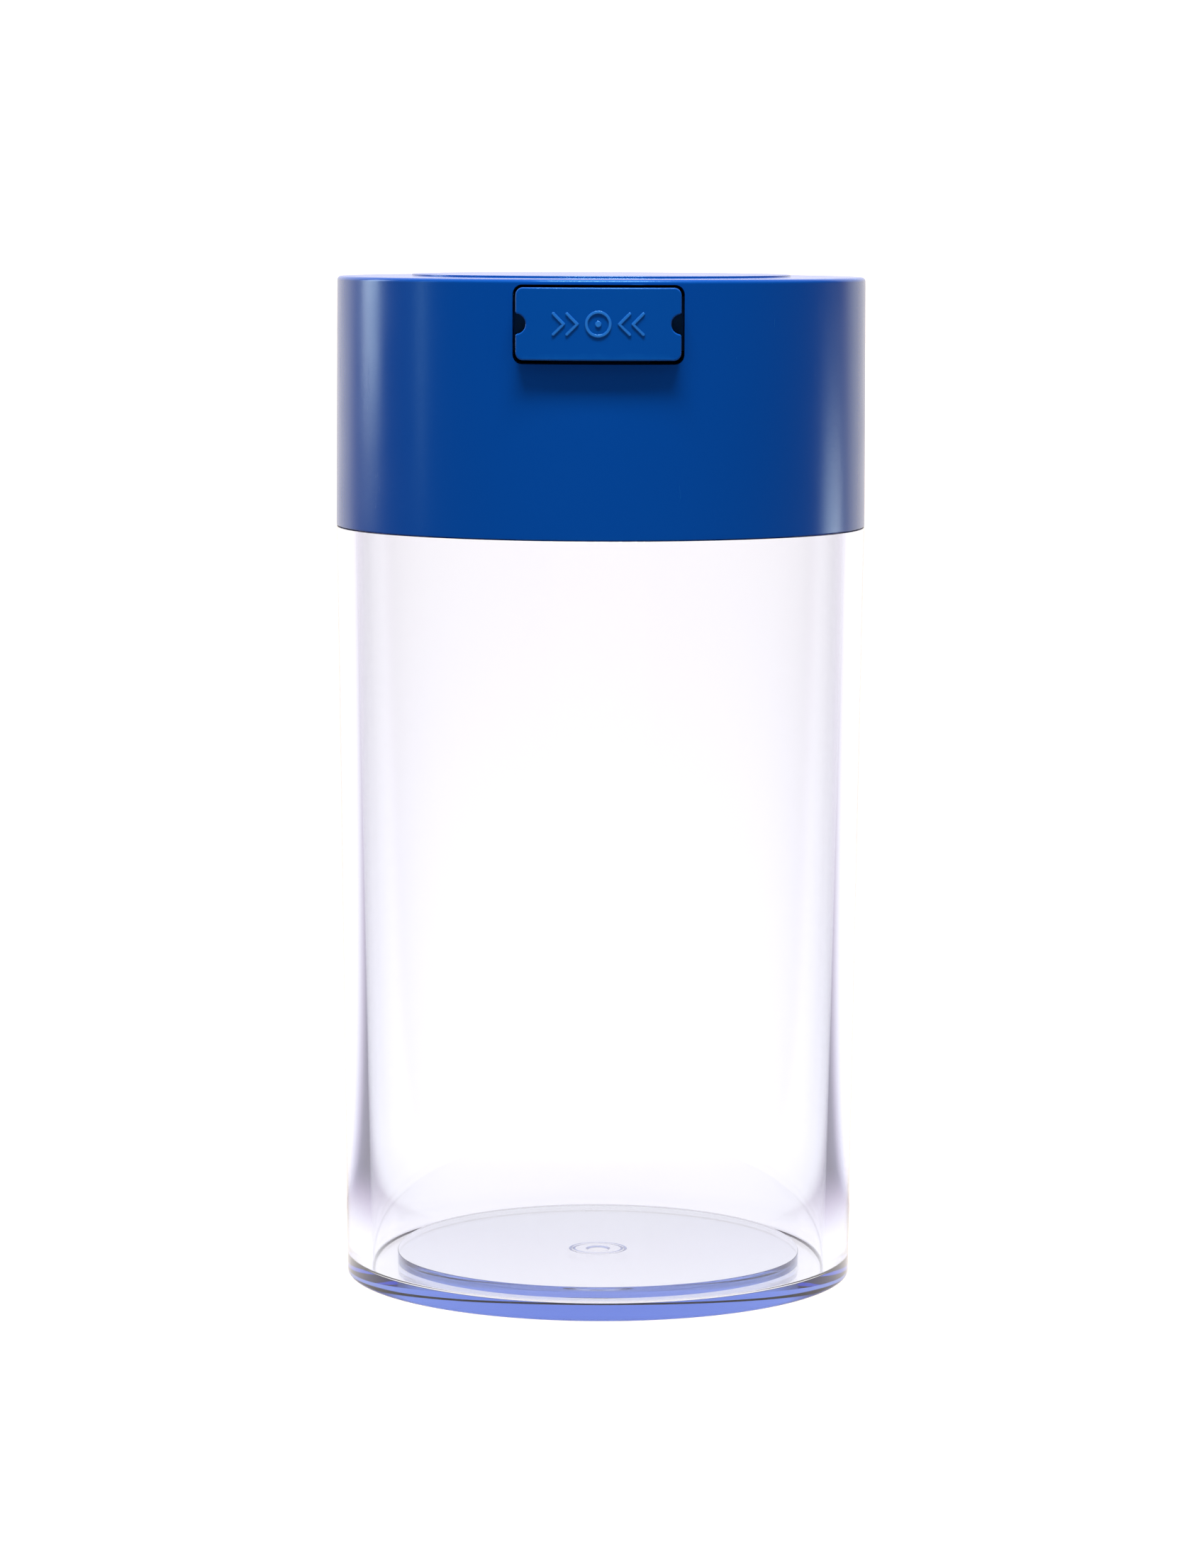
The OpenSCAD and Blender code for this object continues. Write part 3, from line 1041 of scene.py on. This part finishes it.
stage_half = 6.0
stage_z = -0.0001
floor_mesh = bpy.data.meshes.new("floor")
floor_mesh.from_pydata(
    [(x * stage_half, y * stage_half, stage_z) for x, y in ((-1, -1), (1, -1), (1, 1), (-1, 1))],
    [],
    [(0, 1, 2, 3)],
)
floor = bpy.data.objects.new("floor", floor_mesh)
scene.collection.objects.link(floor)
# The table glows rather than being lit: a painted pool of light round the object and behind it, and a
# painted contact shadow right under it.
table, tree, shader = new_material("glowing_table", (0.12, 0.12, 0.12), 0.7)
shader.inputs["Specular IOR Level"].default_value = 0.0
place = tree.nodes.new("ShaderNodeNewGeometry")
split = tree.nodes.new("ShaderNodeSeparateXYZ")
tree.links.new(place.outputs["Position"], split.inputs[0])
level = studio_level(tree, split.outputs[0], split.outputs[1], True)
tree.links.new(studio_colour(tree, level), shader.inputs["Emission Color"])
reach = tree.nodes.new("ShaderNodeVectorMath")
reach.operation = "LENGTH"
tree.links.new(place.outputs["Position"], reach.inputs[0])
# Dimmer glow right under the object: a painted contact shadow.
strength = smooth_step(
    tree, reach.outputs["Value"], 0.034, 0.046, TABLE_GLOW_IN_PAINTED_SHADOW, TABLE_BESIDE_OBJECT
)
tree.links.new(math_node(tree, "MULTIPLY", level, strength), shader.inputs["Emission Strength"])
floor_mesh.materials.append(table)

world = bpy.data.worlds.new("studio")
scene.world = world
world.use_nodes = True
tree = world.node_tree
background = tree.nodes["Background"]
direction = tree.nodes.new("ShaderNodeTexCoord")
split = tree.nodes.new("ShaderNodeSeparateXYZ")
tree.links.new(direction.outputs["Generated"], split.inputs[0])
level = studio_level(tree, split.outputs[0], split.outputs[1], False)
overhead = smooth_step(tree, split.outputs[2], 0.35, 0.7, 0.0, 0.75)
level = math_node(tree, "MAXIMUM", level, overhead)
tree.links.new(studio_colour(tree, level), background.inputs[0])
tree.links.new(math_node(tree, "MULTIPLY", level, WORLD_STRENGTH), background.inputs[1])


def soft_box(name, place, aim, width, height, watts, only=None):
    """A rectangular light; only is a collection, when it lights nothing but what is in there."""
    data = bpy.data.lights.new(name, "AREA")
    data.shape = "RECTANGLE"
    data.size = width
    data.size_y = height
    data.energy = watts
    lamp = bpy.data.objects.new(name, data)
    scene.collection.objects.link(lamp)
    lamp.location = place
    lamp.visible_transmission = False
    lamp.rotation_euler = (Vector(aim) - Vector(place)).to_track_quat("-Z", "Y").to_euler()
    if only:
        lamp.light_linking.receiver_collection = only


blue_pieces = bpy.data.collections.new("blue_pieces")
blue_pieces.objects.link(cap_cover)
blue_pieces.objects.link(thumb_button)

soft_box("key_box", (0.0, -0.27, 0.95), (0, 0, 0.12), 0.5, 0.13, 17.0)
soft_box("left_strip", (-0.72, 0.35, 0.32), (0, 0, 0.13), 0.2, 0.42, 1.9, blue_pieces)
soft_box("left_thin_strip", (-0.79, -0.12, 0.32), (0, 0, 0.13), 0.05, 0.42, 0.4, blue_pieces)
soft_box("right_low_panel", (0.7, 0.38, 0.02), (0, 0, 0.1), 0.2, 0.14, 0.6, blue_pieces)

scene.view_settings.view_transform = "Standard"
scene.cycles.max_bounces = 32
scene.cycles.transmission_bounces = 32
scene.cycles.glossy_bounces = 12
scene.cycles.transparent_max_bounces = 16

camera_data = bpy.data.cameras.new("camera")
camera_data.lens = 115.0
camera_data.sensor_width = 36.0
camera = bpy.data.objects.new("camera", camera_data)
scene.collection.objects.link(camera)
pitch = math.radians(6.436)
roll = math.radians(0.192)
about_object = math.radians(0.71)
camera.matrix_world = (
    Matrix.Rotation(about_object, 4, "Z")
    @ Matrix.Translation((-1.74 * MM, -782.3 * MM, 165.5 * MM))
    @ Matrix.Rotation(math.pi / 2 - pitch, 4, "X")
    @ Matrix.Rotation(roll, 4, "Z")
)
scene.camera = camera
